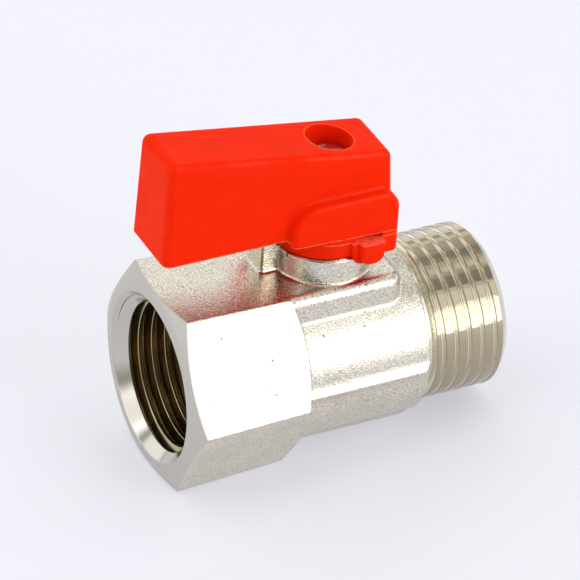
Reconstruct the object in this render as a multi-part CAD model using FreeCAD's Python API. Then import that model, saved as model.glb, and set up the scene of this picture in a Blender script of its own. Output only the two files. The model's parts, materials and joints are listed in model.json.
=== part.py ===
import FreeCAD, Part
import math
import os

from FreeCAD import Vector

# Mini ball valve, G1/2 female by G1/2 male, shown open. Sizes are millimetres.
# The origin is the ball's centre, where the flow axis X crosses the stem axis Z.
# The female port faces -X, the male port +X, and the lever lies over the female port.

# Pipe threads, drawn as plain walls: crest radius of the male, crest radius of the female.
THREAD_MAJOR_R = 10.4775
THREAD_MINOR_R = 9.3155

# Forged body, along the flow axis.
FEMALE_FACE_X = -23.0
MALE_FACE_X = 22.0
HEX_ACROSS_FLATS = 24.6
HEX_FLUSH_X = -9.4
HEX_DRAFT_DEG = 2.2
HEX_EDGE_ROUND = 0.3
HEX_FACE_R = 12.0
HEX_FRONT_CHAMFER_DEG = 22.0
HEX_REAR_CORNER_X = -7.6
HEX_REAR_CONE_DEG = 62.0
CHAMBER_R = 11.4
CHAMBER_END_X = 10.6
CHAMBER_END_ROUND = 1.6
CHAMBER_HEX_ACROSS_FLATS = 20.7
CHAMBER_HEX_EDGE_ROUND = 0.35
NECK_GROOVE_R = 9.9
NECK_GROOVE_WIDTH = 0.7
MALE_END_CHAMFER = 1.0

# Top pad and stem boss. The pad carries the hexagon's top flat on to the boss.
PAD_HALF_WIDTH = 7.55
PAD_END_X = 8.0
PAD_CORNER_R = 2.0
PAD_EDGE_ROUND = 1.4
PAD_FOOT_FILLET = 0.9
BOSS_R = 6.3
BOSS_HEIGHT = 3.6
BOSS_EDGE_CHAMFER = 0.3
BOSS_FOOT_FILLET = 0.4

# Stop block beside the boss, met by the handle's two stop lugs.
STOP_FRONT_Y = -0.55
STOP_WIDTH = 3.6
STOP_OUTER_X = -8.6
STOP_HEIGHT = 4.9
STOP_EDGE_ROUND = 0.4
STOP_CLEARANCE = 0.15

# Ports and inner bores.
FEMALE_MOUTH_R = 11.0
FEMALE_THREAD_DEPTH = 11.5
BALL_R = 7.5
BALL_BORE_R = 4.5
CAVITY_CLEARANCE = 0.2
SEAT_THICKNESS = 3.4
SEAT_BACK_RISE = 0.1
SEAT_BORE_CLEARANCE = 0.2
SEAT_SIDE_CLEARANCE = 0.05
SEAT_BALL_GAP = 0.05
RETAINER_R = 8.7
RETAINER_SIDE_CLEARANCE = 0.05
RETAINER_LENGTH = 3.6
RETAINER_SOCKET_AF = 11.0
RETAINER_SOCKET_DEPTH = 2.0
RETAINER_EDGE_CHAMFER = 0.4
MALE_BORE_R = 7.2
MALE_BORE_DEPTH = 9.4
MALE_BORE_CONE_DEG = 59.0

# Stem, up the Z axis.
STEM_R = 3.0
STEM_CLEARANCE = 0.05
STEM_BLADE_WIDTH = 3.0
STEM_BLADE_CLEARANCE = 0.05
STEM_BLADE_DEPTH = 1.7
STEM_FLANGE_R = 4.2
STEM_FLANGE_THICKNESS = 1.4
STEM_FLANGE_CLEARANCE = 0.15
STEM_BALL_GAP = 0.25
THRUST_WASHER_THICKNESS = 0.8
O_RING_SECTION_R = 0.56
O_RING_GROOVE_WIDTH = 1.4
O_RING_WALL_GAP = 0.03
LOWER_O_RING_RISE = 1.5
O_RING_PITCH = 2.2
STEM_DRIVE_FLATS = 4.4
STEM_DRIVE_LENGTH = 5.2
STEM_TOP_CHAMFER = 0.4

# Handle screw.
SCREW_R = 1.5
SCREW_LENGTH = 9.0
SCREW_HEAD_R = 2.75
SCREW_HEAD_HEIGHT = 2.2
SCREW_HEAD_CROWN = 0.25
SCREW_HEAD_ROUND = 0.35
SCREW_CROSS_WIDTH = 0.9
SCREW_CROSS_SPAN = 3.8
SCREW_CROSS_DEPTH = 1.3
SCREW_HOLE_CLEARANCE = 0.05
SCREW_TIP_ROOM = 0.8

# Moulded handle.
HANDLE_LIFT = 0.3
LEVER_TIP_X = -23.95
LEVER_REAR_X = 7.1
LEVER_BOTTOM_Z = 19.55
LEVER_TIP_TOP_Z = 33.85
LEVER_REAR_TOP_Z = 28.85
LEVER_HALF_WIDTH = 4.9
LEVER_DRAFT_DEG = 1.8
LEVER_REAR_DRAFT_DEG = 3.2
LEVER_CORNER_R = 1.1
LEVER_TOP_ROUND = 1.1
LEVER_WALL = 1.7
LEVER_HOLLOW_REAR_X = -8.2
LEVER_HOLLOW_CORNER_R = 0.6
LEVER_RIB_THICKNESS = 1.2
LEVER_RIB_DEPTH = 2.2
LEVER_RIB_COUNT = 2
SKIRT_FRONT_X = -7.3
SKIRT_REAR_STEP = 0.1
SKIRT_SIDE_STEP = 1.5
SKIRT_BOTTOM_Z = 18.6
SKIRT_FRONT_RISE = 0.55
SKIRT_HEIGHT = 5.6
SKIRT_NOSE_R = 3.6
SKIRT_TAIL_R = 2.4
SKIRT_FACE_ROUND = 0.7
SKIRT_ROOT_FILLET = 0.6
HUB_R = 6.3
LUG_REACH = 7.7
LUG_WIDTH = 4.15
LUG_LEAD_STEP = 0.9
LUG_END_R = 1.4
LUG_FACE_ROUND = 0.5
LUG_TOP_Z = 18.2
LUG_BOTTOM_Z = 15.1
LUG_BOSS_CLEARANCE = 0.4
REAR_LEG_BOTTOM_Z = 15.4
REAR_LEG_THICKNESS = 2.3
REAR_LEG_WIDTH = 3.2
REAR_LEG_ROUND = 0.55
SCREW_WELL_R = 3.05
SCREW_SEAT_WEB = 3.9
DRIVE_SOCKET_CLEARANCE = 0.05
DRIVE_SOCKET_HEADROOM = 0.2

# Places worked out from the driving sizes.
HEX_TOP_Z = HEX_ACROSS_FLATS / 2
HEX_TAPER = 2 * math.tan(math.radians(HEX_DRAFT_DEG))
HEX_FRONT_CORNER_R = (HEX_ACROSS_FLATS + HEX_TAPER * (HEX_FLUSH_X - FEMALE_FACE_X)) / math.sqrt(3)
HEX_CORNER_R = (HEX_ACROSS_FLATS - HEX_TAPER * (HEX_REAR_CORNER_X - HEX_FLUSH_X)) / math.sqrt(3)
CHAMBER_HEX_CORNER_R = CHAMBER_HEX_ACROSS_FLATS / math.sqrt(3)
BOSS_TOP_Z = HEX_TOP_Z + BOSS_HEIGHT
CAVITY_R = BALL_R + CAVITY_CLEARANCE
SEAT_R = CAVITY_R - SEAT_SIDE_CLEARANCE
SEAT_BACK_X = BALL_R + SEAT_BACK_RISE
SEAT_BORE_R = BALL_BORE_R + SEAT_BORE_CLEARANCE
FLANGE_BOTTOM_Z = BALL_R + STEM_BALL_GAP
FLANGE_TOP_Z = FLANGE_BOTTOM_Z + STEM_FLANGE_THICKNESS
WASHER_TOP_Z = FLANGE_TOP_Z + THRUST_WASHER_THICKNESS
LOWER_O_RING_Z = WASHER_TOP_Z + LOWER_O_RING_RISE
UPPER_O_RING_Z = LOWER_O_RING_Z + O_RING_PITCH
O_RING_CENTRE_R = STEM_R + STEM_CLEARANCE - O_RING_WALL_GAP - O_RING_SECTION_R
O_RING_GROOVE_R = O_RING_CENTRE_R - O_RING_SECTION_R
HUB_BOTTOM_Z = BOSS_TOP_Z + HANDLE_LIFT
STEM_TOP_Z = HUB_BOTTOM_Z + STEM_DRIVE_LENGTH
SOCKET_TOP_Z = STEM_TOP_Z + DRIVE_SOCKET_HEADROOM
SCREW_SEAT_Z = SOCKET_TOP_Z + SCREW_SEAT_WEB
SCREW_TIP_Z = SCREW_SEAT_Z - SCREW_LENGTH
SKIRT_TOP_Z = SKIRT_BOTTOM_Z + SKIRT_HEIGHT
SKIRT_REAR_X = LEVER_REAR_X + SKIRT_REAR_STEP
SKIRT_HALF_WIDTH = LEVER_HALF_WIDTH + SKIRT_SIDE_STEP
LEVER_SLOPE = (LEVER_REAR_TOP_Z - LEVER_TIP_TOP_Z) / (LEVER_REAR_X - LEVER_TIP_X)

# Cutting tools and hidden ends run this far past what they cut.
ROOM = 5.0


def box(x0, x1, y0, y1, z0, z1):
    """Box between two corners."""
    return Part.makeBox(x1 - x0, y1 - y0, z1 - z0, Vector(x0, y0, z0))


def cylinder_x(radius, x0, x1):
    """Cylinder about the flow axis."""
    return Part.makeCylinder(radius, x1 - x0, Vector(x0, 0, 0), Vector(1, 0, 0))


def cylinder_z(radius, z0, z1):
    """Cylinder about the stem axis."""
    return Part.makeCylinder(radius, z1 - z0, Vector(0, 0, z0), Vector(0, 0, 1))


def turned_x(outline):
    """Solid turned about the flow axis from (x, radius) points."""
    points = [Vector(x, 0, radius) for x, radius in outline]
    face = Part.Face(Part.makePolygon(points + points[:1]))
    return face.revolve(Vector(0, 0, 0), Vector(1, 0, 0), 360)


def hexagon_x(x0, across_flats0, x1, across_flats1):
    """Hexagonal bar along the flow axis with a flat on top, from one size to another."""
    rings = []
    for x, across_flats in ((x0, across_flats0), (x1, across_flats1)):
        corner_r = across_flats / math.sqrt(3)
        angles = [math.radians(60 * step) for step in range(6)]
        rings.append([Vector(x, corner_r * math.cos(angle), corner_r * math.sin(angle)) for angle in angles])
    front, rear = rings
    outlines = [front[::-1], rear]
    for step in range(6):
        outlines.append([front[step - 1], front[step], rear[step], rear[step - 1]])
    faces = [Part.Face(Part.makePolygon(outline + outline[:1])) for outline in outlines]
    return Part.makeSolid(Part.makeShell(faces))


def edges_where(shape, test):
    """Edges whose two ends and middle all pass a test on their place."""
    chosen = []
    for edge in shape.Edges:
        middle = edge.valueAt((edge.FirstParameter + edge.LastParameter) / 2)
        places = [vertex.Point for vertex in edge.Vertexes] + [middle]
        if all(test(place) for place in places):
            chosen.append(edge)
    return chosen


def upright_edges(shape, test=lambda place: True):
    """Straight edges that rise steeper than 45 degrees and pass a test on their place."""
    steep = math.sin(math.radians(45))
    return [edge for edge in edges_where(shape, test) if abs(edge.tangentAt(edge.FirstParameter).z) > steep]


def near(a, b, tolerance=1e-4):
    """True where two sizes agree."""
    return abs(a - b) < tolerance


def rounded_bar_x(x0, across_flats0, x1, across_flats1, edge_round):
    """Hexagonal bar with its six long edges rounded."""
    bar = hexagon_x(x0, across_flats0, x1, across_flats1)
    long_edges = [edge for edge in bar.Edges if abs(edge.tangentAt(edge.FirstParameter).x) > 0.5]
    return bar.makeFillet(edge_round, long_edges)


def wrench_hexagon():
    """Drafted hexagon of the female end, chamfered in front and coned down to the chamber behind."""
    chamfer = (HEX_FRONT_CORNER_R - HEX_FACE_R) * math.tan(math.radians(HEX_FRONT_CHAMFER_DEG))
    cone = math.tan(math.radians(HEX_REAR_CONE_DEG))
    cone_foot_r = CHAMBER_HEX_ACROSS_FLATS / 2
    cone_foot_x = HEX_REAR_CORNER_X + (HEX_CORNER_R - cone_foot_r) / cone
    envelope = turned_x([
        (FEMALE_FACE_X, 0),
        (FEMALE_FACE_X, HEX_FACE_R),
        (FEMALE_FACE_X + chamfer, HEX_FRONT_CORNER_R),
        (HEX_REAR_CORNER_X - (HEX_FRONT_CORNER_R - HEX_CORNER_R) / cone, HEX_FRONT_CORNER_R),
        (cone_foot_x, cone_foot_r),
        (cone_foot_x, 0),
    ])
    front_x = FEMALE_FACE_X - ROOM
    rear_x = cone_foot_x + ROOM
    front_flats = HEX_ACROSS_FLATS + HEX_TAPER * (HEX_FLUSH_X - front_x)
    rear_flats = HEX_ACROSS_FLATS - HEX_TAPER * (rear_x - HEX_FLUSH_X)
    return rounded_bar_x(front_x, front_flats, rear_x, rear_flats, HEX_EDGE_ROUND).common(envelope)


def chamber():
    """Round chamber with the side and bottom corners of a smaller hexagon, rounded off at the neck."""
    bulge = cylinder_x(CHAMBER_R, HEX_REAR_CORNER_X, CHAMBER_END_X)
    bar = rounded_bar_x(
        HEX_REAR_CORNER_X,
        CHAMBER_HEX_ACROSS_FLATS,
        CHAMBER_END_X,
        CHAMBER_HEX_ACROSS_FLATS,
        CHAMBER_HEX_EDGE_ROUND,
    )
    lower_part = box(
        HEX_REAR_CORNER_X,
        CHAMBER_END_X,
        -HEX_CORNER_R,
        HEX_CORNER_R,
        -HEX_CORNER_R,
        CHAMBER_HEX_CORNER_R / 2,
    )
    envelope = cylinder_x(CHAMBER_HEX_CORNER_R, HEX_REAR_CORNER_X - ROOM, CHAMBER_END_X)
    end_edges = edges_where(envelope, lambda place: near(place.x, CHAMBER_END_X))
    envelope = envelope.makeFillet(CHAMBER_END_ROUND, end_edges)
    return bulge.fuse(bar.common(lower_part)).common(envelope)


def top_pad():
    """Flat pad under the boss that carries the hexagon's top flat on, with rounded corners and rims."""
    pad = box(HEX_REAR_CORNER_X - ROOM, PAD_END_X, -PAD_HALF_WIDTH, PAD_HALF_WIDTH, 0, HEX_TOP_Z)
    corners = upright_edges(pad, lambda place: near(place.x, PAD_END_X))
    pad = pad.makeFillet(PAD_CORNER_R, corners)
    side_rims = edges_where(
        pad, lambda place: near(place.z, HEX_TOP_Z) and near(abs(place.y), PAD_HALF_WIDTH)
    )
    return pad.makeFillet(PAD_EDGE_ROUND, side_rims)


def stem_boss():
    """Round boss for the stem with the stop block standing beside it."""
    boss = cylinder_z(BOSS_R, 0, BOSS_TOP_Z)
    rim = edges_where(boss, lambda place: near(place.z, BOSS_TOP_Z))
    boss = boss.makeChamfer(BOSS_EDGE_CHAMFER, rim)
    stop_top_z = HEX_TOP_Z + STOP_HEIGHT
    block = box(STOP_OUTER_X, 0, STOP_FRONT_Y, STOP_FRONT_Y + STOP_WIDTH, 0, stop_top_z)
    corners = upright_edges(block, lambda place: near(place.x, STOP_OUTER_X))
    block = block.makeFillet(STOP_EDGE_ROUND, corners)
    swept_by_hub = cylinder_z(HUB_R + HANDLE_LIFT, BOSS_TOP_Z, stop_top_z + ROOM)
    boss = boss.fuse(block.cut(swept_by_hub))
    roots = []
    for side_y in (STOP_FRONT_Y, STOP_FRONT_Y + STOP_WIDTH):
        roots += edges_where(
            boss, lambda place: near(place.y, side_y) and near(math.hypot(place.x, place.y), BOSS_R)
        )
    return boss.makeFillet(BOSS_FOOT_FILLET, roots)


def male_end():
    """Male pipe end with its end chamfer and the thread's run-out groove."""
    groove_x = CHAMBER_END_X + NECK_GROOVE_WIDTH
    return turned_x([
        (0, 0),
        (0, NECK_GROOVE_R),
        (groove_x, NECK_GROOVE_R),
        (groove_x + THREAD_MAJOR_R - NECK_GROOVE_R, THREAD_MAJOR_R),
        (MALE_FACE_X - MALE_END_CHAMFER, THREAD_MAJOR_R),
        (MALE_FACE_X, THREAD_MAJOR_R - MALE_END_CHAMFER),
        (MALE_FACE_X, 0),
    ])


def flow_way():
    """Everything bored out of the body along the flow axis."""
    mouth_depth = FEMALE_MOUTH_R - THREAD_MINOR_R
    thread_end_x = FEMALE_FACE_X + FEMALE_THREAD_DEPTH
    bores = turned_x([
        (FEMALE_FACE_X - ROOM, 0),
        (FEMALE_FACE_X - ROOM, FEMALE_MOUTH_R + ROOM),
        (FEMALE_FACE_X + mouth_depth, THREAD_MINOR_R),
        (thread_end_x, THREAD_MINOR_R),
        (thread_end_x, RETAINER_R + RETAINER_SIDE_CLEARANCE),
        (-SEAT_BACK_X, RETAINER_R + RETAINER_SIDE_CLEARANCE),
        (-SEAT_BACK_X, CAVITY_R),
        (SEAT_BACK_X, CAVITY_R),
        (SEAT_BACK_X, SEAT_BORE_R),
        (MALE_FACE_X + ROOM, SEAT_BORE_R),
        (MALE_FACE_X + ROOM, 0),
    ])
    bore_x = MALE_FACE_X - MALE_BORE_DEPTH
    cone_length = (MALE_BORE_R - SEAT_BORE_R) / math.tan(math.radians(MALE_BORE_CONE_DEG))
    outlet = turned_x([
        (bore_x - cone_length, 0),
        (bore_x - cone_length, SEAT_BORE_R),
        (bore_x, MALE_BORE_R),
        (MALE_FACE_X + ROOM, MALE_BORE_R),
        (MALE_FACE_X + ROOM, 0),
    ])
    return bores.fuse(outlet)


def stem_way():
    """Stem bore, and the pocket of the stem's flange and washer."""
    pocket = cylinder_z(STEM_FLANGE_R + STEM_FLANGE_CLEARANCE, 0, WASHER_TOP_Z)
    return pocket.fuse(cylinder_z(STEM_R + STEM_CLEARANCE, 0, BOSS_TOP_Z + ROOM))


def forging():
    """Outside of the body, with the pad and the boss filleted where they stand on it."""
    boss = stem_boss()
    solid = wrench_hexagon().fuse([chamber(), top_pad(), boss, male_end()]).removeSplitter()
    boss_foot = edges_where(
        solid, lambda place: near(place.z, HEX_TOP_Z) and boss.isInside(place, 1e-4, True)
    )
    solid = solid.makeFillet(BOSS_FOOT_FILLET, boss_foot)
    pad_foot_z = math.sqrt(CHAMBER_R ** 2 - PAD_HALF_WIDTH ** 2)
    pad_foot = edges_where(
        solid,
        lambda place: near(math.hypot(place.y, place.z), CHAMBER_R)
        and place.z > pad_foot_z - PAD_EDGE_ROUND
        and place.x < PAD_END_X + PAD_EDGE_ROUND,
    )
    return solid.makeFillet(PAD_FOOT_FILLET, pad_foot)


def valve_body():
    """One-piece forged and turned body."""
    return forging().cut(flow_way()).cut(stem_way())


def seat_retainer():
    """Threaded ring that holds the inlet seat, with a hexagon socket for its key."""
    outer_x = -SEAT_BACK_X - RETAINER_LENGTH
    ring = turned_x([
        (outer_x, 0),
        (outer_x, RETAINER_R - RETAINER_EDGE_CHAMFER),
        (outer_x + RETAINER_EDGE_CHAMFER, RETAINER_R),
        (-SEAT_BACK_X, RETAINER_R),
        (-SEAT_BACK_X, 0),
    ])
    ring = ring.cut(cylinder_x(SEAT_BORE_R, outer_x - ROOM, ROOM))
    socket_end_x = outer_x + RETAINER_SOCKET_DEPTH
    return ring.cut(hexagon_x(outer_x - ROOM, RETAINER_SOCKET_AF, socket_end_x, RETAINER_SOCKET_AF))


def ball_seat(side):
    """Seat ring hollowed to the ball, on the inlet side (-1) or the outlet side (+1)."""
    back_x = side * SEAT_BACK_X
    front_x = side * (SEAT_BACK_X - SEAT_THICKNESS)
    ring = cylinder_x(SEAT_R, min(back_x, front_x), max(back_x, front_x))
    ring = ring.cut(cylinder_x(SEAT_BORE_R, -SEAT_BACK_X - ROOM, SEAT_BACK_X + ROOM))
    return ring.cut(Part.makeSphere(BALL_R + SEAT_BALL_GAP))


def ball():
    """Bored ball with a slot across its top for the stem's blade."""
    solid = Part.makeSphere(BALL_R).cut(cylinder_x(BALL_BORE_R, -BALL_R - ROOM, BALL_R + ROOM))
    half_slot = STEM_BLADE_WIDTH / 2 + STEM_BLADE_CLEARANCE
    floor_z = BALL_R - STEM_BLADE_DEPTH - STEM_BLADE_CLEARANCE
    return solid.cut(box(-half_slot, half_slot, -BALL_R, BALL_R, floor_z, BALL_R + ROOM))


def stem_section(half_width, z0, z1, radius):
    """Round bar with two flats that face along the flow axis."""
    return cylinder_z(radius, z0, z1).common(box(-half_width, half_width, -radius, radius, z0, z1))


def stem():
    """Blow-out-proof stem: blade, flange, two ring grooves and a drive end with two flats."""
    blade_z = BALL_R - STEM_BLADE_DEPTH
    solid = stem_section(STEM_BLADE_WIDTH / 2, blade_z, FLANGE_TOP_Z, STEM_FLANGE_R)
    solid = solid.fuse(cylinder_z(STEM_FLANGE_R, FLANGE_BOTTOM_Z, FLANGE_TOP_Z))
    shaft = cylinder_z(STEM_R, FLANGE_BOTTOM_Z, BOSS_TOP_Z)
    drive = cylinder_z(STEM_R, FLANGE_BOTTOM_Z, STEM_TOP_Z)
    top_rim = edges_where(drive, lambda place: near(place.z, STEM_TOP_Z))
    drive = drive.makeChamfer(STEM_TOP_CHAMFER, top_rim)
    half_flats = STEM_DRIVE_FLATS / 2
    drive = drive.common(box(-half_flats, half_flats, -STEM_R, STEM_R, FLANGE_BOTTOM_Z, STEM_TOP_Z))
    solid = solid.fuse([shaft, drive]).removeSplitter()
    for ring_z in (LOWER_O_RING_Z, UPPER_O_RING_Z):
        groove = cylinder_z(STEM_R + ROOM, ring_z - O_RING_GROOVE_WIDTH / 2, ring_z + O_RING_GROOVE_WIDTH / 2)
        solid = solid.cut(groove.cut(cylinder_z(O_RING_GROOVE_R, ring_z - ROOM, ring_z + ROOM)))
    screw_hole_r = SCREW_R + SCREW_HOLE_CLEARANCE
    return solid.cut(cylinder_z(screw_hole_r, SCREW_TIP_Z - SCREW_TIP_ROOM, STEM_TOP_Z + ROOM))


def stem_thrust_washer():
    """Flat low-friction washer between the stem's flange and the body."""
    washer = cylinder_z(STEM_FLANGE_R, FLANGE_TOP_Z, WASHER_TOP_Z)
    return washer.cut(cylinder_z(STEM_R + STEM_CLEARANCE, FLANGE_TOP_Z - ROOM, WASHER_TOP_Z + ROOM))


def o_ring(ring_z):
    """Round-section seal ring in its stem groove."""
    return Part.makeTorus(O_RING_CENTRE_R, O_RING_SECTION_R, Vector(0, 0, ring_z))


def handle_screw():
    """Pan-head screw with a cross recess."""
    head_top_z = SCREW_SEAT_Z + SCREW_HEAD_HEIGHT
    crown_z = head_top_z - SCREW_HEAD_CROWN
    crown_r = (SCREW_HEAD_R ** 2 + SCREW_HEAD_CROWN ** 2) / (2 * SCREW_HEAD_CROWN)
    dome = Part.makeSphere(crown_r, Vector(0, 0, head_top_z - crown_r))
    head = cylinder_z(SCREW_HEAD_R, SCREW_SEAT_Z, head_top_z)
    head = head.common(dome.fuse(cylinder_z(SCREW_HEAD_R + ROOM, SCREW_SEAT_Z, crown_z)))
    rim = edges_where(head, lambda place: near(place.z, crown_z))
    head = head.makeFillet(SCREW_HEAD_ROUND, rim)
    half_span = SCREW_CROSS_SPAN / 2
    half_width = SCREW_CROSS_WIDTH / 2
    cross_z = head_top_z - SCREW_CROSS_DEPTH
    cross = box(-half_span, half_span, -half_width, half_width, cross_z, head_top_z + ROOM)
    cross = cross.fuse(box(-half_width, half_width, -half_span, half_span, cross_z, head_top_z + ROOM))
    return head.fuse(cylinder_z(SCREW_R, SCREW_TIP_Z, SCREW_SEAT_Z)).cut(cross)


def lever_top_z(x):
    """Height of the lever's sloping top over a place along it."""
    return LEVER_TIP_TOP_Z + LEVER_SLOPE * (x - LEVER_TIP_X)


def lever_block(x0, x1, half_width, bottom_z, drop):
    """Drafted block under the sloping top: sides lean inwards, top set down by a drop."""
    taper = math.tan(math.radians(LEVER_DRAFT_DEG))
    rear_taper = math.tan(math.radians(LEVER_REAR_DRAFT_DEG))
    corners = []
    for end_x, lean in ((x0, taper), (x1, -rear_taper)):
        rise = lever_top_z(end_x - lean * LEVER_BOTTOM_Z) - drop
        top_z = rise / (1 - LEVER_SLOPE * lean)
        ring = []
        for z in (bottom_z, top_z):
            x = end_x + lean * (z - LEVER_BOTTOM_Z)
            y = half_width - taper * (z - LEVER_BOTTOM_Z)
            ring.append((Vector(x, -y, z), Vector(x, y, z)))
        corners.append(ring)
    (tip_low, tip_high), (rear_low, rear_high) = corners
    outlines = [
        [tip_low[0], tip_low[1], rear_low[1], rear_low[0]],
        [tip_high[0], rear_high[0], rear_high[1], tip_high[1]],
        [tip_low[0], rear_low[0], rear_high[0], tip_high[0]],
        [tip_low[1], tip_high[1], rear_high[1], rear_low[1]],
        [tip_low[0], tip_high[0], tip_high[1], tip_low[1]],
        [rear_low[0], rear_low[1], rear_high[1], rear_high[0]],
    ]
    faces = [Part.Face(Part.makePolygon(outline + outline[:1])) for outline in outlines]
    return Part.makeSolid(Part.makeShell(faces))


def lever_shell():
    """Outside of the lever with its corners and top edges rounded."""
    block = lever_block(LEVER_TIP_X, LEVER_REAR_X, LEVER_HALF_WIDTH, LEVER_BOTTOM_Z, 0)
    block = block.makeFillet(LEVER_CORNER_R, upright_edges(block))
    rims = edges_where(block, lambda place: near(place.z, lever_top_z(place.x)))
    return block.makeFillet(LEVER_TOP_ROUND, rims)


def skirt():
    """Wider skirt round the hub: rounded nose towards the tip, rounded tail, rising underside."""
    side_view = [
        (SKIRT_FRONT_X, SKIRT_BOTTOM_Z + SKIRT_FRONT_RISE),
        (SKIRT_REAR_X, SKIRT_BOTTOM_Z),
        (SKIRT_REAR_X, SKIRT_TOP_Z),
        (SKIRT_FRONT_X, SKIRT_TOP_Z),
    ]
    points = [Vector(x, -SKIRT_HALF_WIDTH, z) for x, z in side_view]
    block = Part.Face(Part.makePolygon(points + points[:1])).extrude(Vector(0, 2 * SKIRT_HALF_WIDTH, 0))
    nose = edges_where(block, lambda place: near(place.x, SKIRT_FRONT_X) and near(place.z, SKIRT_TOP_Z))
    block = block.makeFillet(SKIRT_NOSE_R, nose)
    tail = edges_where(block, lambda place: near(place.x, SKIRT_REAR_X) and near(place.z, SKIRT_TOP_Z))
    block = block.makeFillet(SKIRT_TAIL_R, tail)
    side_rims = edges_where(
        block, lambda place: near(place.z, SKIRT_TOP_Z) and near(abs(place.y), SKIRT_HALF_WIDTH)
    )
    return block.makeFillet(SKIRT_FACE_ROUND, side_rims)


def lug_block(left_x, right_x, reach):
    """Upright block in front of the boss with its two lower corners rounded."""
    block = box(left_x, right_x, -reach, -HUB_R / 2, LUG_BOTTOM_Z, LUG_TOP_Z)
    end_corners = [
        edge
        for edge in edges_where(block, lambda place: near(place.z, LUG_BOTTOM_Z))
        if near(abs(edge.tangentAt(edge.FirstParameter).y), 1)
    ]
    return block.makeFillet(LUG_END_R, end_corners)


def stop_lug():
    """Lug with a round lower end that hangs from the hub, its leading corner stepped back."""
    left_x = -STOP_FRONT_Y + STOP_CLEARANCE
    right_x = left_x + LUG_WIDTH
    tongue = lug_block(left_x + LUG_LEAD_STEP, right_x, LUG_REACH)
    face_rim = edges_where(
        tongue, lambda place: near(place.y, -LUG_REACH) and place.z < LUG_TOP_Z - LUG_FACE_ROUND
    )
    tongue = tongue.makeFillet(LUG_FACE_ROUND, face_rim)
    return tongue.fuse(lug_block(left_x, right_x, LUG_REACH - LUG_LEAD_STEP)).removeSplitter()


def open_stop_lug():
    """Lug behind the stop block that stops the lever in the open place."""
    front_y = STOP_FRONT_Y + STOP_WIDTH + STOP_CLEARANCE
    shift = front_y - (-STOP_FRONT_Y + STOP_CLEARANCE)
    lug = stop_lug()
    lug.translate(Vector(shift, 0, 0))
    lug.rotate(Vector(0, 0, 0), Vector(0, 0, 1), -90)
    return lug.mirror(Vector(0, 0, 0), Vector(0, 1, 0))


def rear_leg(side):
    """Short leg that carries the skirt's rear corner lower, on one side."""
    top_z = SKIRT_BOTTOM_Z + SKIRT_HEIGHT / 2
    corner_block = box(0, SKIRT_REAR_X, 0, SKIRT_HALF_WIDTH, REAR_LEG_BOTTOM_Z, top_z)
    corner = upright_edges(
        corner_block, lambda place: near(place.x, SKIRT_REAR_X) and near(place.y, SKIRT_HALF_WIDTH)
    )
    corner_block = corner_block.makeFillet(SKIRT_FACE_ROUND, corner)
    foot_rim = edges_where(
        corner_block, lambda place: near(place.z, REAR_LEG_BOTTOM_Z) and near(place.x, SKIRT_REAR_X)
    )
    corner_block = corner_block.makeFillet(REAR_LEG_ROUND, foot_rim)
    leg = corner_block.common(box(
        SKIRT_REAR_X - REAR_LEG_THICKNESS,
        SKIRT_REAR_X,
        SKIRT_HALF_WIDTH - REAR_LEG_WIDTH,
        SKIRT_HALF_WIDTH,
        REAR_LEG_BOTTOM_Z,
        top_z,
    ))
    return leg if side > 0 else leg.mirror(Vector(0, 0, 0), Vector(0, 1, 0))


def drive_socket():
    """Socket that fits the stem's two flats."""
    half_flats = STEM_DRIVE_FLATS / 2 + DRIVE_SOCKET_CLEARANCE
    radius = STEM_R + DRIVE_SOCKET_CLEARANCE
    return stem_section(half_flats, HUB_BOTTOM_Z - ROOM, SOCKET_TOP_Z, radius)


def lever_hollow():
    """Hollow underside of the lever with shallow cross ribs under its top."""
    x0 = LEVER_TIP_X + LEVER_WALL
    drop = LEVER_WALL * math.sqrt(1 + LEVER_SLOPE ** 2)
    hollow = lever_block(
        x0, LEVER_HOLLOW_REAR_X, LEVER_HALF_WIDTH - LEVER_WALL, LEVER_BOTTOM_Z - ROOM, drop
    )
    hollow = hollow.makeFillet(LEVER_HOLLOW_CORNER_R, upright_edges(hollow))
    pitch = (LEVER_HOLLOW_REAR_X - x0) / (LEVER_RIB_COUNT + 1)
    for count in range(LEVER_RIB_COUNT):
        rib_x = x0 + pitch * (count + 1)
        hollow = hollow.cut(box(
            rib_x - LEVER_RIB_THICKNESS / 2,
            rib_x + LEVER_RIB_THICKNESS / 2,
            -LEVER_HALF_WIDTH,
            LEVER_HALF_WIDTH,
            lever_top_z(rib_x) - drop - LEVER_RIB_DEPTH,
            LEVER_TIP_TOP_Z + ROOM,
        ))
    return hollow


def handle():
    """Moulded lever handle: hollow lever, skirt, hub, two stop lugs and a screw well."""
    outside = lever_shell().fuse(skirt()).removeSplitter()
    roots = edges_where(
        outside, lambda place: near(place.z, SKIRT_TOP_Z) and abs(place.y) < LEVER_HALF_WIDTH
    )
    outside = outside.makeFillet(SKIRT_ROOT_FILLET, roots)
    below = [stop_lug(), open_stop_lug(), rear_leg(-1), rear_leg(1)]
    swept = cylinder_z(BOSS_R + LUG_BOSS_CLEARANCE, BOSS_TOP_Z - ROOM, HUB_BOTTOM_Z)
    hub = cylinder_z(HUB_R, HUB_BOTTOM_Z, SKIRT_BOTTOM_Z + SKIRT_HEIGHT / 2)
    solid = outside.fuse([hub] + [piece.cut(swept) for piece in below])
    solid = solid.cut(lever_hollow())
    solid = solid.cut(drive_socket())
    solid = solid.cut(cylinder_z(SCREW_R + SCREW_HOLE_CLEARANCE, HUB_BOTTOM_Z, SCREW_SEAT_Z + ROOM))
    return solid.cut(cylinder_z(SCREW_WELL_R, SCREW_SEAT_Z, LEVER_TIP_TOP_Z + ROOM)).removeSplitter()


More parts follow.
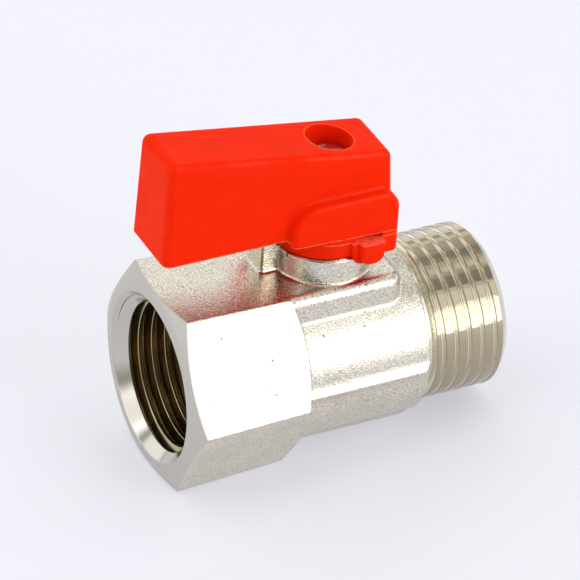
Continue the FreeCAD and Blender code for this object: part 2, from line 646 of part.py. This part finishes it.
PIECES = {
    "valve_body": valve_body,
    "seat_retainer": seat_retainer,
    "inlet_seat": lambda: ball_seat(-1),
    "outlet_seat": lambda: ball_seat(1),
    "ball": ball,
    "stem": stem,
    "stem_thrust_washer": stem_thrust_washer,
    "lower_stem_seal": lambda: o_ring(LOWER_O_RING_Z),
    "upper_stem_seal": lambda: o_ring(UPPER_O_RING_Z),
    "handle": handle,
    "handle_screw": handle_screw,
}

os.makedirs("parts", exist_ok=True)
for name, make in PIECES.items():
    shape = make()
    solid = shape.Solids[0] if len(shape.Solids) == 1 else shape
    print(name, len(shape.Solids), "solid", shape.isValid(), round(shape.Volume, 1))
    solid.exportStep("parts/" + name + ".step")
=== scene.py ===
import json
import math

import bpy
from bpy.props import FloatProperty, FloatVectorProperty, IntProperty, PointerProperty
from mathutils import Matrix, Vector

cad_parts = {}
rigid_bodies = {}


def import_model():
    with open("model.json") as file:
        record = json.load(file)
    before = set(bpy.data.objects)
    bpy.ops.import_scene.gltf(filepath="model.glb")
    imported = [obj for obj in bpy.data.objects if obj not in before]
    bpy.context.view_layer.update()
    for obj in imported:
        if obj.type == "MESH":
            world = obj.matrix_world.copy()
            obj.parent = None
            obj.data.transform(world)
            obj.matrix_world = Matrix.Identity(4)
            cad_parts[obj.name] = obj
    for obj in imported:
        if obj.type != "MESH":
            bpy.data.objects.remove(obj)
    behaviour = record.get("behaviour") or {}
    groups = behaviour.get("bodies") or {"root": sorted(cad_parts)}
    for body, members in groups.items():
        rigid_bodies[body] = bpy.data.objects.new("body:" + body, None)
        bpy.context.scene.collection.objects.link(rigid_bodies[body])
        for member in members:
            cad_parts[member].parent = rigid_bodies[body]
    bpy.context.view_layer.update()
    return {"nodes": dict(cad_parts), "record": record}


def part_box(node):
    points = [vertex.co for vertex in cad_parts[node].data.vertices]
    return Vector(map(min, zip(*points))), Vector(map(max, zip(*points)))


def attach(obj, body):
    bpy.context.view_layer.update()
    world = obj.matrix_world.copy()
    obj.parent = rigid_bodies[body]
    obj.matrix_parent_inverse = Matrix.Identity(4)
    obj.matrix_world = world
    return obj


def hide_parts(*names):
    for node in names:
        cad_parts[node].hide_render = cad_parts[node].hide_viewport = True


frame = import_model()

bl_info = {
    "name": "Isolating valve",
    "version": (1, 0, 0),
    "blender": (4, 5, 0),
    "location": "View3D > Sidebar > Valve",
    "description": "Dresses a lever ball valve with its pipe threads and finishes, and sets its stage",
    "category": "Object",
}

MM = 0.001
MOUNTS = {mount["name"]: mount for mount in frame["record"]["mounts"]}
MALE_CREST_R = MOUNTS["male_port"]["dims"]["r_mm"] * MM
FEMALE_CREST_R = MOUNTS["female_port"]["dims"]["r_mm"] * MM

# Places on the body: x along the pipe, r from the pipe's axis.
FRONT_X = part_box("valve_body")[0].x
FACE_R = 12 * MM
FACE_CHAMFER = math.radians(22)
MOUTH_R = 11 * MM
PORT_END_X = -8.1 * MM
SPIGOT_X = 10.6 * MM

# Places on the handle; its skirt's lower edge rises a little from its back towards the lever.
SKIRT_BACK_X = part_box("handle")[1].x
SKIRT_SLOPE = 0.55 / 14.5
SKIRT_SIDE_Y = 5.6 * MM
LEVER_X = -7 * MM

MASK_EDGE = 0.1 * MM
MERGE_DISTANCE = 0.001 * MM
CUTTER_OVERLAP = 0.45 * MM
FLOOR_SIZE = 6
FLOOR_CUTS = 7
LAMP_DISTANCE = 600 * MM
SENSOR_WIDTH = 36


def length(name, description, millimetres):
    """A length property given in millimetres."""
    return FloatProperty(
        name=name, description=description, default=millimetres * MM, unit="LENGTH", precision=6
    )


def angle(name, description, degrees):
    """An angle property given in degrees."""
    return FloatProperty(name=name, description=description, default=math.radians(degrees), subtype="ANGLE")


def tint(name, description, *rgb):
    """A colour property, in linear light."""
    return FloatVectorProperty(name=name, description=description, default=rgb, subtype="COLOR", min=0, max=1)


def scaled(colour, share):
    """A colour at a share of its brightness."""
    return [share * part for part in colour]


class ValveThreads(bpy.types.PropertyGroup):
    """Sizes of the two pipe threads."""

    pitch: length("Pitch", "Advance of one turn", 1.814)
    male_depth: length("Male depth", "Depth of the male groove", 0.55)
    female_depth: length("Female depth", "Depth of the female groove", 1.15)
    root_width: length("Root width", "Flat at the bottom of a groove", 0.14)
    flank: angle("Flank", "Lean of a groove's sides", 27.5)
    crest_round: length("Crest round", "Rounding of a crest's edges", 0.07)
    male_start: length("Male start", "Place along the pipe where the male groove starts", 23.206)
    male_turns: FloatProperty(name="Male turns", description="Turns of the male groove", default=6.66)
    female_start: length("Female start", "Place along the pipe where the female groove starts", -23.9)
    female_turns: FloatProperty(name="Female turns", description="Turns of the female groove", default=6.5)
    steps: IntProperty(name="Steps", description="Steps in one turn of a groove", default=96, min=12)


class ValveFinishes(bpy.types.PropertyGroup):
    """Colours and grain of the valve's finishes."""

    nickel: tint("Nickel", "Plated brass", 0.7, 0.655, 0.55)
    # Turned faces at the ends: their darker tone than the plain nickel is painted shade.
    turned_nickel_and_painted_shade: tint("Turned nickel", "Plated faces that were turned", 0.55, 0.53, 0.47)
    # Male thread crests: thin, worn plating, and their darker, warmer tone is partly a painted dim
    # reflection.
    thin_nickel_and_painted_reflection: tint("Thin nickel", "Thinly plated crests of the male thread", 0.42, 0.365, 0.255)
    # Female thread wall: thin plating, and its darker brown tone is partly painted shade of the deep bore.
    bore_nickel_and_painted_shade: tint("Bore nickel", "Thinly plated wall of the female thread", 0.5, 0.42, 0.27)
    grain: length("Grain", "Grain of the blasted forging", 0.155)
    grain_depth: length("Grain depth", "Depth of the forging's grain", 0.042)
    red: tint("Red", "Moulded handle", 1.0, 0.024, 0.001)
    red_depth: length("Red depth", "How far light soaks into the handle", 1.4)
    # Paler red of the moulding flash along the lower edges, partly a painted edge highlight; also the colour
    # of the painted highlights on the upper rounded edges and the well's rim.
    flash_and_highlight: tint("Flash", "Paler moulding flash along the handle's edges", 1.0, 0.16, 0.09)
    # Width of the flash bands and of the painted highlight round the well's rim.
    flash_and_highlight_width: length("Flash width", "Width of the moulding flash", 0.13)
    lever_edge: length("Lever edge", "Height of the lever's lower edge", 19.55)
    skirt_edge: length("Skirt edge", "Height of the skirt's lower edge, at its back", 18.6)
    lug_edge: length("Lug edge", "Height of the stop lug's upper edge", 18.2)
    well_radius: length("Well radius", "Radius of the well over the screw", 3.05)
    chrome: tint("Chrome", "Plated ball", 0.56, 0.57, 0.58)
    brass: tint("Brass", "Turned brass", 0.62, 0.42, 0.15)
    zinc: tint("Zinc", "Plated screw", 0.8, 0.77, 0.7)
    seat: tint("Seat", "White ball seats", 0.84, 0.84, 0.81)
    rubber: tint("Rubber", "Black seal rings", 0.012, 0.012, 0.013)


class ValveStage(bpy.types.PropertyGroup):
    """Camera, floor and light."""

    target: FloatVectorProperty(
        name="Target",
        description="Point that the camera looks at",
        default=(-1.58 * MM, 4.56 * MM, 4.72 * MM),
        subtype="XYZ",
        unit="LENGTH",
        precision=6,
    )
    distance: length("Distance", "From the camera to its target", 686.95)
    azimuth: angle("Azimuth", "Camera's way round the valve", -28.2336)
    elevation: angle("Elevation", "Camera's height angle", 34.6488)
    roll: angle("Roll", "Camera's turn about its own line", 3.716)
    lens: FloatProperty(name="Lens", description="Focal length in millimetres", default=341.07)
    tilt: angle("Tilt", "Lean of the valve on its floor", 2.7)
    contact: length("Contact", "Place along the pipe where the hexagon stands on the floor", -6.57)
    ground: length("Ground", "Height of the floor at the contact", -12.195)
    floor: tint("Floor", "Pale floor, by which the valve is lit", 0.83, 0.835, 0.87)
    floor_shade: tint("Floor shade", "Share of the floor that takes the shadow", 0.5, 0.505, 0.52)
    floor_glow: tint("Floor glow", "Share of the floor that stays pale", 0.38, 0.38, 0.43)
    sky: tint("Sky", "Plain backdrop above the floor", 0.93, 0.935, 0.95)
    panel: tint("Panel", "Light panels all round", 0.98, 0.985, 1.0)
    gap: tint("Gap", "Dimmer gaps between the light panels", 0.3, 0.295, 0.29)
    panel_level: FloatProperty(name="Panel level", description="Brightness of the light panels", default=1.45)
    room: tint("Room", "Dimmer room behind the camera", 0.12, 0.115, 0.11)
    key_level: FloatProperty(name="Key light", description="Brightness of the front soft box", default=2.8)
    key_azimuth: angle("Key azimuth", "Front soft box's way round the valve", 25)
    key_elevation: angle("Key elevation", "Front soft box's height angle", 17)
    back_level: FloatProperty(name="Back light", description="Brightness of the back soft box", default=0.28)
    back_azimuth: angle("Back azimuth", "Back soft box's way round the valve", 158)
    back_elevation: angle("Back elevation", "Back soft box's height angle", 38)
    side_level: FloatProperty(name="Side light", description="Brightness of the side soft box", default=1.0)
    side_azimuth: angle("Side azimuth", "Side soft box's way round the valve", -100)
    side_elevation: angle("Side elevation", "Side soft box's height angle", 30)


class Value:
    """Output of a shader node, with the arithmetic of its numbers."""

    def __init__(self, finish, socket):
        self.finish = finish
        self.socket = socket

    def __add__(self, other):
        return self.finish.math("ADD", self, other)

    __radd__ = __add__

    def __sub__(self, other):
        return self.finish.math("SUBTRACT", self, other)

    def __rsub__(self, other):
        return self.finish.math("SUBTRACT", other, self)

    def __mul__(self, other):
        return self.finish.math("MULTIPLY", self, other)

    __rmul__ = __mul__


class Finish:
    """A node tree under construction: adds its nodes and links them."""

    def __init__(self, owner):
        owner.use_nodes = True
        self.owner = owner
        self.tree = owner.node_tree
        self.tree.nodes.clear()

    def node(self, kind, settings=None, inputs=None, output=0):
        """Adds a node, sets it, feeds its sockets and gives one of its outputs."""
        node = self.tree.nodes.new("ShaderNode" + kind)
        for key, value in (settings or {}).items():
            setattr(node, key, value)
        for key, value in (inputs or {}).items():
            if isinstance(value, Value):
                self.tree.links.new(value.socket, node.inputs[key])
            else:
                node.inputs[key].default_value = value
        return Value(self, node.outputs[output]) if node.outputs else None

    def math(self, operation, *values):
        """A Math node on values and numbers."""
        return self.node("Math", {"operation": operation}, dict(enumerate(values)))

    def step(self, value, low, high):
        """Smooth step of a value, 0 at low and 1 at high."""
        settings = {"interpolation_type": "SMOOTHSTEP"}
        return self.node("MapRange", settings, {"Value": value, "From Min": low, "From Max": high})

    def above(self, value, limit):
        """Mask of what lies above a limit, with a soft edge."""
        return self.step(value, limit, limit + MASK_EDGE)

    def mix(self, factor, first, second):
        """Colour between two colours, through the colour sockets of a Mix node."""
        first, second = (c if isinstance(c, Value) else (*c, 1) for c in (first, second))
        return self.node("Mix", {"data_type": "RGBA"}, {0: factor, 6: first, 7: second}, 2)

    def place(self, scale=(1, 1, 1)):
        """Object coordinates, squeezed by a factor along each axis."""
        here = self.node("TexCoord", output="Object")
        return self.node("Mapping", None, {"Vector": here, "Scale": scale})

    def axes(self, vector):
        """The three numbers of a vector."""
        return [self.node("SeparateXYZ", None, {"Vector": vector}, axis) for axis in "XYZ"]

    def noise(self, vector, size, detail=2.0, roughness=0.5):
        """Cloudy noise, its features of a given size."""
        inputs = {"Vector": vector, "Scale": 1 / size, "Detail": detail, "Roughness": roughness}
        return self.node("TexNoise", None, inputs, "Fac")

    def relief(self, height, depth, edge):
        """Normal of a relief of a given depth, over edges softened by a given radius."""
        soft = self.node("Bevel", {"samples": 6}, {"Radius": edge})
        return self.node("Bump", None, {"Height": height, "Distance": depth, "Normal": soft})

    def band(self, value, low, width):
        """Mask of a band of a given width above a low limit."""
        above = self.step(value - low, -0.03 * MM, 0.0)
        return above * (1 - self.step(value - low, width, width + 0.04 * MM))

    def either(self, *masks):
        """The strongest of some masks."""
        strongest = masks[0]
        for mask in masks[1:]:
            strongest = self.math("MAXIMUM", strongest, mask)
        return strongest

    def close(self, sockets):
        """Ends a material with one surface shader."""
        surface = self.node("BsdfPrincipled", None, sockets)
        self.node("OutputMaterial", None, {"Surface": surface})
        return self.owner


def new_finish(name):
    """A finish for a new material."""
    return Finish(bpy.data.materials.new(name))


def only(piece):
    """Leaves one piece selected and active, in object mode."""
    if bpy.context.mode != "OBJECT":
        bpy.ops.object.mode_set(mode="OBJECT")
    bpy.ops.object.select_all(action="DESELECT")
    piece.select_set(True)
    bpy.context.view_layer.objects.active = piece


def edit(piece):
    """Opens a piece in edit mode with all of it selected."""
    only(piece)
    bpy.ops.object.mode_set(mode="EDIT")
    bpy.ops.mesh.select_all(action="SELECT")


def new_piece(name):
    """Names the object that was just added or copied, and its mesh."""
    piece = bpy.context.active_object
    piece.name = name
    piece.data.name = name
    return piece


def apply_modifier(piece, kind, **settings):
    """Adds a modifier to a piece and applies it."""
    only(piece)
    bpy.ops.object.modifier_add(type=kind)
    modifier = piece.modifiers[-1]
    for key, value in settings.items():
        setattr(modifier, key, value)
    bpy.ops.object.modifier_apply(modifier=modifier.name)


def copy_of(node):
    """Merged copy of a solid, with no parent."""
    only(frame["nodes"][node])
    bpy.ops.object.duplicate()
    piece = new_piece(node + "_dressed")
    bpy.ops.object.parent_clear(type="CLEAR")
    for key in list(piece.keys()):
        del piece[key]
    bpy.ops.mesh.customdata_custom_splitnormals_clear()
    edit(piece)
    bpy.ops.mesh.remove_doubles(threshold=MERGE_DISTANCE)
    only(piece)
    return piece


def cut(piece, cutter):
    """Takes a cutter out of a piece and deletes it."""
    apply_modifier(piece, "BOOLEAN", operation="DIFFERENCE", solver="MANIFOLD", object=cutter)
    only(cutter)
    bpy.ops.object.delete()


def smooth(piece, degrees=32):
    """Smooth shading that keeps sharp edges and flat faces."""
    only(piece)
    bpy.ops.object.shade_smooth_by_angle(angle=math.radians(degrees))
    apply_modifier(piece, "WEIGHTED_NORMAL", weight=100, keep_sharp=True)


def dress(piece, node, body, material):
    """Gives a piece its material and puts it in a solid's place."""
    piece.data.materials.clear()
    piece.data.materials.append(material)
    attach(piece, body)
    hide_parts(node)


def draw_outline(name, points):
    """Closed outline drawn point by point, from (x, z) places on the middle plane."""
    bpy.ops.object.select_all(action="DESELECT")
    bpy.ops.mesh.primitive_plane_add(size=MM)
    piece = new_piece(name)
    edit(piece)
    bpy.ops.mesh.merge(type="CENTER")
    here = Vector((0, 0, 0))
    for count, (x, z) in enumerate(points):
        place = Vector((x, 0, z))
        if count == 0:
            bpy.ops.transform.translate(value=place - here)
        else:
            bpy.ops.mesh.extrude_region_move(TRANSFORM_OT_translate={"value": place - here})
        here = place
    bpy.ops.mesh.select_all(action="SELECT")
    bpy.ops.mesh.edge_face_add()
    bpy.ops.mesh.delete(type="ONLY_FACE")
    only(piece)
    return piece


def groove_cutter(name, start, crest_r, depth, turns):
    """Right-handed helical cutter of a thread's groove; a depth below 0 cuts outwards, into a bore."""
    threads = bpy.context.scene.valve_threads
    way = math.copysign(1, depth)
    root = threads.root_width / 2
    edge = threads.crest_round
    mouth = root + (abs(depth) - edge) * math.tan(threads.flank)
    side = [
        (root, crest_r - depth),
        (mouth, crest_r - way * edge),
        (mouth + edge, crest_r),
        (mouth + 2 * edge, crest_r + way * CUTTER_OVERLAP),
    ]
    right = [(start + x, z) for x, z in side]
    left = [(start - x, z) for x, z in reversed(side)]
    cutter = draw_outline(name, right + left)
    rounds = math.ceil(turns)
    share = turns / rounds
    inwards = math.copysign(1, -start)
    apply_modifier(
        cutter,
        "SCREW",
        axis="X",
        angle=inwards * 2 * math.pi * share,
        screw_offset=inwards * threads.pitch * share,
        iterations=rounds,
        steps=threads.steps,
        render_steps=threads.steps,
    )
    edit(cutter)
    bpy.ops.mesh.fill_holes(sides=0)
    bpy.ops.mesh.select_all(action="SELECT")
    bpy.ops.mesh.normals_make_consistent(inside=False)
    only(cutter)
    return cutter


def nickel_finish():
    """Nickel over blasted brass: grainy forging, turned ends and thinly plated threads, with painted shade
    darkening the turned ends and the female thread's wall, and a painted dim, warm reflection on the male
    crests.
    """
    look = bpy.context.scene.valve_finishes
    finish = new_finish("nickel_plate")
    here = finish.place()
    x, y, z = finish.axes(here)
    r = finish.math("SQRT", y * y + z * z)

    chamfer = finish.math("MAXIMUM", r - FACE_R, 0.0) * math.tan(FACE_CHAMFER)
    front = 1 - finish.step(x - FRONT_X - chamfer, 0.08 * MM, 0.16 * MM)
    inside = (1 - finish.above(r, MOUTH_R)) * (1 - finish.above(x, PORT_END_X))
    spigot = finish.above(x, SPIGOT_X)
    turned = finish.either(front, inside, spigot)
    forged = 1 - turned
    female_thread = finish.above(r + x, FRONT_X + MOUTH_R + 0.05 * MM) * inside
    male_land = finish.above(r, MALE_CREST_R - 0.16 * MM) * spigot

    fine = finish.noise(here, size=look.grain, detail=1.0)
    coarse = finish.noise(here, size=8 * look.grain)
    rings = finish.noise(finish.node("CombineXYZ", None, {"X": r, "Y": x}), size=0.06 * MM)
    height = forged * (fine + 0.5 * coarse) + (0.08 * turned + 0.05 * male_land) * rings
    normal = finish.relief(height, depth=look.grain_depth, edge=0.08 * MM + 0.2 * MM * forged)

    cloud = finish.noise(here, size=5 * MM, detail=3.0, roughness=0.6)
    speck = finish.step(fine + 0.15 * (cloud - 0.5), 0.3, 0.7)
    pit = finish.step(finish.noise(here, size=4 * look.grain, detail=0.0), 0.82, 0.85)
    plate = finish.mix(speck, scaled(look.nickel, 0.7), scaled(look.nickel, 1.24))
    plate = finish.mix(pit, plate, scaled(look.nickel, 0.3))
    # Turned end face, mouth and near bore: a turned finish, its darker tone painted shade.
    plate = finish.mix(finish.either(front, inside), plate, look.turned_nickel_and_painted_shade)
    plate = finish.mix(spigot, plate, look.nickel)
    # Male crests: thin, worn plating, darker and warmer partly as a painted dim reflection.
    plate = finish.mix(male_land, plate, look.thin_nickel_and_painted_reflection)
    # Female thread wall: thin plating, darker and browner partly as painted shade inside the bore.
    plate = finish.mix(female_thread, plate, look.bore_nickel_and_painted_shade)
    roughness = 0.16 - 0.03 * forged + 0.14 * front - 0.07 * male_land + 0.05 * (cloud - 0.5)
    return finish.close({"Base Color": plate, "Metallic": 1.0, "Roughness": roughness, "Normal": normal})


def red_finish():
    """Red moulding with a fine grain, paler moulding flash along its lower edges that is partly a painted
    edge highlight, and painted highlights on its upper rounded edges and round the rim of the well over the
    screw.
    """
    look = bpy.context.scene.valve_finishes
    finish = new_finish("red_plastic")
    here = finish.place()
    x, y, z = finish.axes(here)
    _, ny, nz = finish.axes(finish.node("TexCoord", output="Normal"))

    grain = finish.noise(here, size=0.16 * MM, roughness=0.6)
    cloud = finish.noise(here, size=6 * MM, detail=3.0, roughness=0.6)
    streak = finish.noise(finish.place((0.25, 1, 1)), size=2.5 * MM)
    tone = finish.step(0.4 * cloud + 0.3 * streak + 0.3 * grain, 0.35, 0.65)
    base = finish.mix(tone, scaled(look.red, 0.88), look.red)

    side = finish.step(finish.math("ABSOLUTE", y), SKIRT_SIDE_Y, SKIRT_SIDE_Y + 0.2 * MM)
    lever = finish.step(LEVER_X - x, 0.0, 0.5 * MM)
    skirt_line = look.skirt_edge + SKIRT_SLOPE * (SKIRT_BACK_X - x)
    # Paler bands along the lower edges of the lever, skirt and lug: moulding flash, partly a painted edge
    # highlight.
    edges = finish.either(
        finish.band(z, look.lever_edge, look.flash_and_highlight_width) * lever,
        finish.band(z, skirt_line, look.flash_and_highlight_width) * side,
        finish.band(z, look.lug_edge - look.flash_and_highlight_width, look.flash_and_highlight_width) * side,
    )
    ragged = finish.step(finish.noise(here, size=0.7 * MM), 0.3, 0.5)
    base = finish.mix(0.8 * edges * ragged, base, look.flash_and_highlight)

    # Painted highlight on the rounded edges between the top and the sides.
    painted_edge_highlight = finish.step(math.sqrt(0.5) * (finish.math("ABSOLUTE", ny) + nz), 0.95, 0.99)
    # Painted highlight round the upward-facing rim of the well over the screw.
    from_screw = finish.math("SQRT", x * x + y * y)
    painted_rim_highlight = finish.band(from_screw, look.well_radius, look.flash_and_highlight_width) * finish.step(nz, 0.5, 0.7)
    base = finish.mix(finish.either(0.3 * painted_edge_highlight * tone, 0.6 * painted_rim_highlight), base, look.flash_and_highlight)
    return finish.close({
        "Base Color": base,
        "Roughness": 0.4 + 0.1 * cloud + 0.06 * grain,
        "Specular IOR Level": 0.03,
        "Subsurface Weight": 0.7,
        "Subsurface Radius": (1.0, 0.08, 0.03),
        "Subsurface Scale": look.red_depth,
        "Normal": finish.relief(grain + 0.4 * cloud, depth=0.012 * MM, edge=0.2 * MM),
    })


def turned_finish(name, shade, ring_size, depth, roughness, metallic, axis):
    """Turned surface with fine rings about an axis."""
    finish = new_finish(name)
    here = finish.place()
    x, y, z = finish.axes(here)
    along, other = (x, z) if axis == "X" else (z, x)
    across = finish.math("SQRT", y * y + other * other)
    rings = finish.noise(finish.node("CombineXYZ", None, {"X": across, "Y": along}), ring_size, roughness=0.6)
    cloud = finish.noise(here, size=3 * MM, detail=3.0, roughness=0.6)
    return finish.close({
        "Base Color": finish.mix(cloud, scaled(shade, 0.85), shade),
        "Metallic": metallic,
        "Roughness": roughness + 0.1 * (cloud - 0.5),
        "Normal": finish.relief(rings, depth, edge=0.12 * MM),
    })


class VALVE_OT_body(bpy.types.Operator):
    """Cuts both pipe threads into the body and plates it"""

    bl_idname = "valve.body"
    bl_label = "Body"

    def execute(self, context):
        threads = context.scene.valve_threads
        body = copy_of("valve_body")
        male = ("male_groove", threads.male_start, MALE_CREST_R, threads.male_depth, threads.male_turns)
        cut(body, groove_cutter(*male))
        depth = -threads.female_depth
        female = ("female_groove", threads.female_start, FEMALE_CREST_R, depth, threads.female_turns)
        cut(body, groove_cutter(*female))
        smooth(body)
        dress(body, "valve_body", "body", nickel_finish())
        return {"FINISHED"}


class VALVE_OT_handle(bpy.types.Operator):
    """Smooths the lever's moulding and gives it its red plastic"""

    bl_idname = "valve.handle"
    bl_label = "Handle"

    def execute(self, context):
        handle = copy_of("handle")
        smooth(handle)
        dress(handle, "handle", "lever", red_finish())
        return {"FINISHED"}


class VALVE_OT_screw(bpy.types.Operator):
    """Finishes the screw that holds the lever"""

    bl_idname = "valve.screw"
    bl_label = "Handle screw"

    def execute(self, context):
        look = context.scene.valve_finishes
        screw = copy_of("handle_screw")
        smooth(screw)
        finish = turned_finish(
            "screw_steel",
            look.zinc,
            ring_size=0.08 * MM,
            depth=0.004 * MM,
            roughness=0.24,
            metallic=1.0,
            axis="Z",
        )
        dress(screw, "handle_screw", "lever", finish)
        return {"FINISHED"}


class VALVE_OT_brass(bpy.types.Operator):
    """Finishes the turned brass pieces inside: seat retainer and stem"""

    bl_idname = "valve.brass"
    bl_label = "Turned brass"

    def execute(self, context):
        look = context.scene.valve_finishes
        for node, body, axis in (("seat_retainer", "body", "X"), ("stem", "lever", "Z")):
            piece = copy_of(node)
            smooth(piece)
            finish = turned_finish(
                "bare_brass_" + node,
                look.brass,
                ring_size=0.09 * MM,
                depth=0.008 * MM,
                roughness=0.28,
                metallic=1.0,
                axis=axis,
            )
            dress(piece, node, body, finish)
        return {"FINISHED"}


class VALVE_OT_ball(bpy.types.Operator):
    """Polishes the ball"""

    bl_idname = "valve.ball"
    bl_label = "Ball"

    def execute(self, context):
        look = context.scene.valve_finishes
        ball = copy_of("ball")
        smooth(ball)
        finish = turned_finish(
            "chrome_ball",
            look.chrome,
            ring_size=0.1 * MM,
            depth=0.001 * MM,
            roughness=0.12,
            metallic=1.0,
            axis="X",
        )
        dress(ball, "ball", "lever", finish)
        return {"FINISHED"}


class VALVE_OT_white_rings(bpy.types.Operator):
    """Finishes the white rings: ball seats and thrust washer"""

    bl_idname = "valve.white_rings"
    bl_label = "White rings"

    def execute(self, context):
        look = context.scene.valve_finishes
        rings = (
            ("inlet_seat", "body", "X"),
            ("outlet_seat", "body", "X"),
            ("stem_thrust_washer", "lever", "Z"),
        )
        for node, body, axis in rings:
            piece = copy_of(node)
            smooth(piece)
            finish = turned_finish(
                "seat_ptfe_" + node,
                look.seat,
                ring_size=0.12 * MM,
                depth=0.006 * MM,
                roughness=0.45,
                metallic=0.0,
                axis=axis,
            )
            dress(piece, node, body, finish)
        return {"FINISHED"}


class VALVE_OT_seal_rings(bpy.types.Operator):
    """Finishes the stem's two rubber rings"""

    bl_idname = "valve.seal_rings"
    bl_label = "Seal rings"

    def execute(self, context):
        look = context.scene.valve_finishes
        finish = turned_finish(
            "seal_rubber",
            look.rubber,
            ring_size=0.2 * MM,
            depth=0.004 * MM,
            roughness=0.5,
            metallic=0.0,
            axis="Z",
        )
        for node in ("lower_stem_seal", "upper_stem_seal"):
            piece = copy_of(node)
            smooth(piece)
            dress(piece, node, "lever", finish)
        return {"FINISHED"}


def round_about(azimuth, elevation):
    """Direction from the valve, its azimuth counted from the front."""
    return Vector((
        math.sin(azimuth) * math.cos(elevation),
        -math.cos(azimuth) * math.cos(elevation),
        math.sin(elevation),
    ))


class VALVE_OT_stage(bpy.types.Operator):
    """Sets the floor, the light and the camera"""

    bl_idname = "valve.stage"
    bl_label = "Stage"

    def execute(self, context):
        stage = context.scene.valve_stage
        self.set_floor(stage)
        self.set_light(stage)
        self.set_camera(stage)
        context.scene.view_settings.view_transform = "Standard"
        return {"FINISHED"}

    def set_floor(self, stage):
        bpy.ops.object.select_all(action="DESELECT")
        bpy.ops.mesh.primitive_plane_add(size=FLOOR_SIZE)
        floor = new_piece("floor")
        edit(floor)
        bpy.ops.mesh.subdivide(number_cuts=FLOOR_CUTS)
        only(floor)
        floor.data.transform(
            Matrix.Translation((stage.contact, 0, stage.ground)) @ Matrix.Rotation(-stage.tilt, 4, "Y")
        )
        finish = new_finish("pale_floor")
        cloud = finish.noise(finish.place(), size=60 * MM)
        rays = [finish.node("LightPath", output=kind) for kind in ("Is Camera Ray", "Is Glossy Ray")]
        seen = finish.either(*rays)
        shade = finish.mix(cloud, scaled(stage.floor_shade, 0.98), stage.floor_shade)
        base = finish.mix(seen, stage.floor, shade)
        glow = finish.mix(seen, (0, 0, 0), stage.floor_glow)
        floor.data.materials.append(finish.close({
            "Base Color": base,
            "Roughness": 0.7,
            "Emission Color": glow,
            "Emission Strength": 1.0,
        }))

    def add_soft_box(self, name, level, azimuth, elevation, width, height):
        towards = round_about(azimuth, elevation)
        bpy.ops.object.light_add(type="AREA", location=towards * LAMP_DISTANCE)
        lamp = bpy.context.active_object
        lamp.name = name
        lamp.data.shape = "RECTANGLE"
        lamp.data.size = width
        lamp.data.size_y = height
        lamp.data.energy = level * math.pi * width * height
        lamp.rotation_euler = towards.to_track_quat("Z", "Y").to_euler()

    def set_light(self, stage):
        front = (stage.key_level, stage.key_azimuth, stage.key_elevation)
        self.add_soft_box("front_soft_box", *front, width=350 * MM, height=310 * MM)
        back = (stage.back_level, stage.back_azimuth, stage.back_elevation)
        self.add_soft_box("back_soft_box", *back, width=500 * MM, height=400 * MM)
        side = (stage.side_level, stage.side_azimuth, stage.side_elevation)
        self.add_soft_box("side_soft_box", *side, width=450 * MM, height=350 * MM)

        world = bpy.data.worlds.new("studio")
        bpy.context.scene.world = world
        finish = Finish(world)
        way = finish.node("TexCoord", output="Generated")
        panels = finish.step(finish.noise(way, size=0.3, detail=0.0), 0.42, 0.56)
        shade = finish.mix(panels, stage.gap, stage.panel)
        behind = round_about(stage.azimuth, stage.elevation)
        near = finish.node("VectorMath", {"operation": "DOT_PRODUCT"}, {0: way, 1: behind}, "Value")
        shade = finish.mix(finish.step(near, 0.8, 0.96), shade, stage.room)
        studio = finish.node("Background", None, {"Color": shade, "Strength": stage.panel_level})
        backdrop = finish.node("Background", None, {"Color": (*stage.sky, 1)})
        seen = finish.node("LightPath", output="Is Camera Ray")
        surface = finish.node("MixShader", None, {0: seen, 1: studio, 2: backdrop})
        finish.node("OutputWorld", None, {"Surface": surface})

    def set_camera(self, stage):
        away = round_about(stage.azimuth, stage.elevation)
        level = Vector((math.cos(stage.azimuth), math.sin(stage.azimuth), 0))
        right = math.cos(stage.roll) * level + math.sin(stage.roll) * away.cross(level)
        place = Matrix((right, away.cross(right), away)).transposed().to_4x4()
        place.translation = Vector(stage.target) + away * stage.distance
        bpy.ops.object.camera_add()
        camera = bpy.context.active_object
        camera.name = "photo_camera"
        camera.matrix_world = place
        camera.data.lens = stage.lens
        camera.data.sensor_width = SENSOR_WIDTH
        bpy.context.scene.camera = camera


class VALVE_PT_sidebar(bpy.types.Panel):
    """Settings of the valve, and the operators that dress it"""

    bl_idname = "VALVE_PT_sidebar"
    bl_label = "Isolating valve"
    bl_space_type = "VIEW_3D"
    bl_region_type = "UI"
    bl_category = "Valve"

    def draw(self, context):
        for name, kind in SETTINGS.items():
            settings = getattr(context.scene, name)
            box = self.layout.box()
            box.label(text=kind.__doc__)
            for key in kind.__annotations__:
                box.prop(settings, key)
        for operator in OPERATORS:
            self.layout.operator(operator.bl_idname)


OPERATORS = (
    VALVE_OT_body,
    VALVE_OT_handle,
    VALVE_OT_screw,
    VALVE_OT_brass,
    VALVE_OT_ball,
    VALVE_OT_white_rings,
    VALVE_OT_seal_rings,
    VALVE_OT_stage,
)
SETTINGS = {"valve_threads": ValveThreads, "valve_finishes": ValveFinishes, "valve_stage": ValveStage}


def register():
    for kind in (*SETTINGS.values(), *OPERATORS, VALVE_PT_sidebar):
        bpy.utils.register_class(kind)
    for name, kind in SETTINGS.items():
        setattr(bpy.types.Scene, name, PointerProperty(type=kind))


def unregister():
    for name in SETTINGS:
        delattr(bpy.types.Scene, name)
    for kind in (VALVE_PT_sidebar, *reversed(OPERATORS), *reversed(SETTINGS.values())):
        bpy.utils.unregister_class(kind)


def main():
    register()
    bpy.ops.valve.body()
    bpy.ops.valve.handle()
    bpy.ops.valve.screw()
    bpy.ops.valve.brass()
    bpy.ops.valve.ball()
    bpy.ops.valve.white_rings()
    bpy.ops.valve.seal_rings()
    bpy.ops.valve.stage()


if __name__ == "__main__":
    main()
